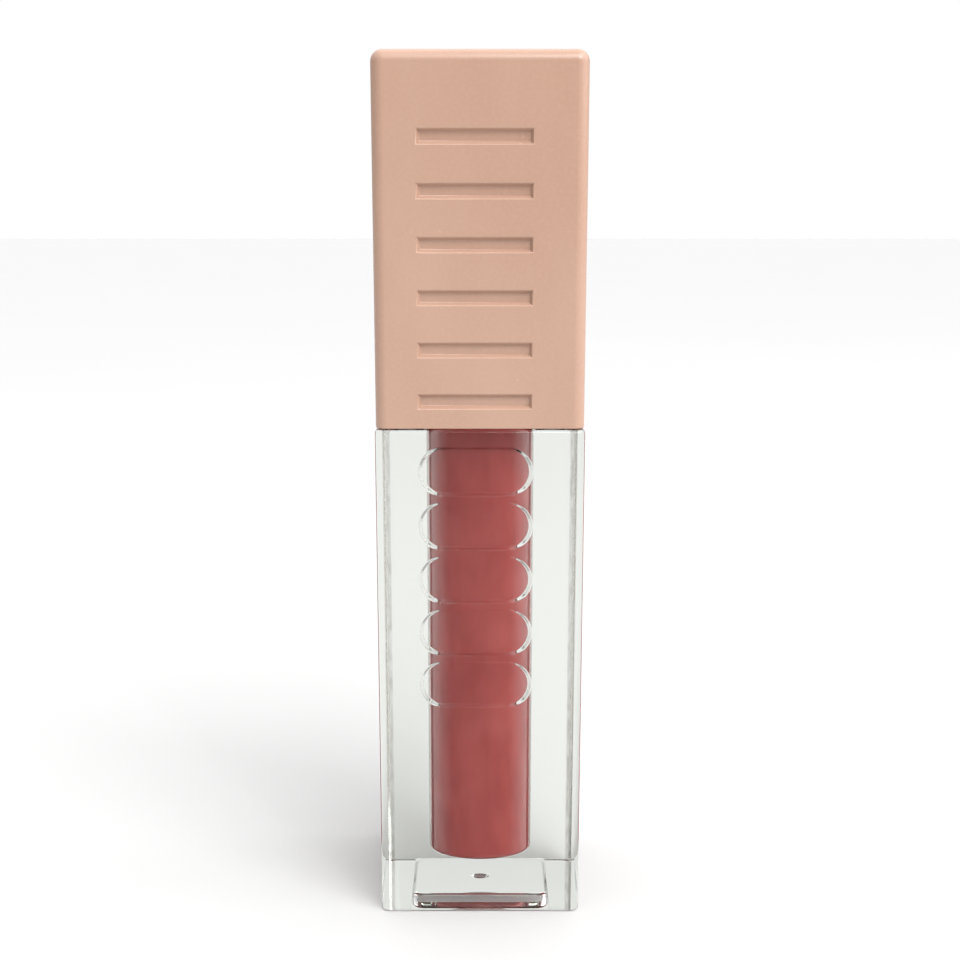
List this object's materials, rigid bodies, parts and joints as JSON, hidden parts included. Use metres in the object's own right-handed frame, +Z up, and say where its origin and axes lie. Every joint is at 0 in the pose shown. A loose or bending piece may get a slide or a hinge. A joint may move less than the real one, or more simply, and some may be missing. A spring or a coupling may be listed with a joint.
{
  "type": "lip gloss tube",
  "caption": "Square lip gloss tube: thick clear bottle with a round gloss cavity, wiper in the neck, and a square screw cap that carries a wand with a flocked slanted applicator.",
  "frame": {"origin": "centre of the base, on the plane of the two runners", "axes": "+Z up along the tube, front face towards -Y"},
  "size_m": [0.0212, 0.0212, 0.0886],
  "materials": {
    "clear_plastic": "clear thick-walled moulded plastic",
    "gloss": "wet creamy gloss",
    "wiper_plastic": "soft polyethylene",
    "washer_foam": "expanded foam",
    "cap_plastic": "satin nude plastic",
    "liner_plastic": "natural polypropylene",
    "stem_plastic": "smooth moulded",
    "core_plastic": "moulded nylon",
    "flock": "short dense flock, stained by gloss"
  },
  "bodies": {
    "bottle": {"bottle": "clear_plastic", "gloss_fill": "gloss", "wiper": "wiper_plastic"},
    "seal": {"sealing_washer": "washer_foam"},
    "cap": {"cap_shell": "cap_plastic", "cap_liner": "liner_plastic", "wand_stem": "stem_plastic", "applicator_core": "core_plastic", "applicator_flock": "flock"}
  },
  "joints": [
    {"name": "cap_lift", "type": "slide", "parent": "bottle", "child": "seal", "axis": [0, 0, 1], "range_m": [0, 0.06]},
    {"name": "cap_turn", "type": "hinge", "parent": "seal", "child": "cap", "pos_m": [0, 0, 0.066], "axis": [0, 0, 1], "range_deg": [0, 3600]}
  ],
  "couplings": [
    {"joint": "cap_lift", "follows": "cap_turn", "m_per_rad": 0.00095493}
  ]
}
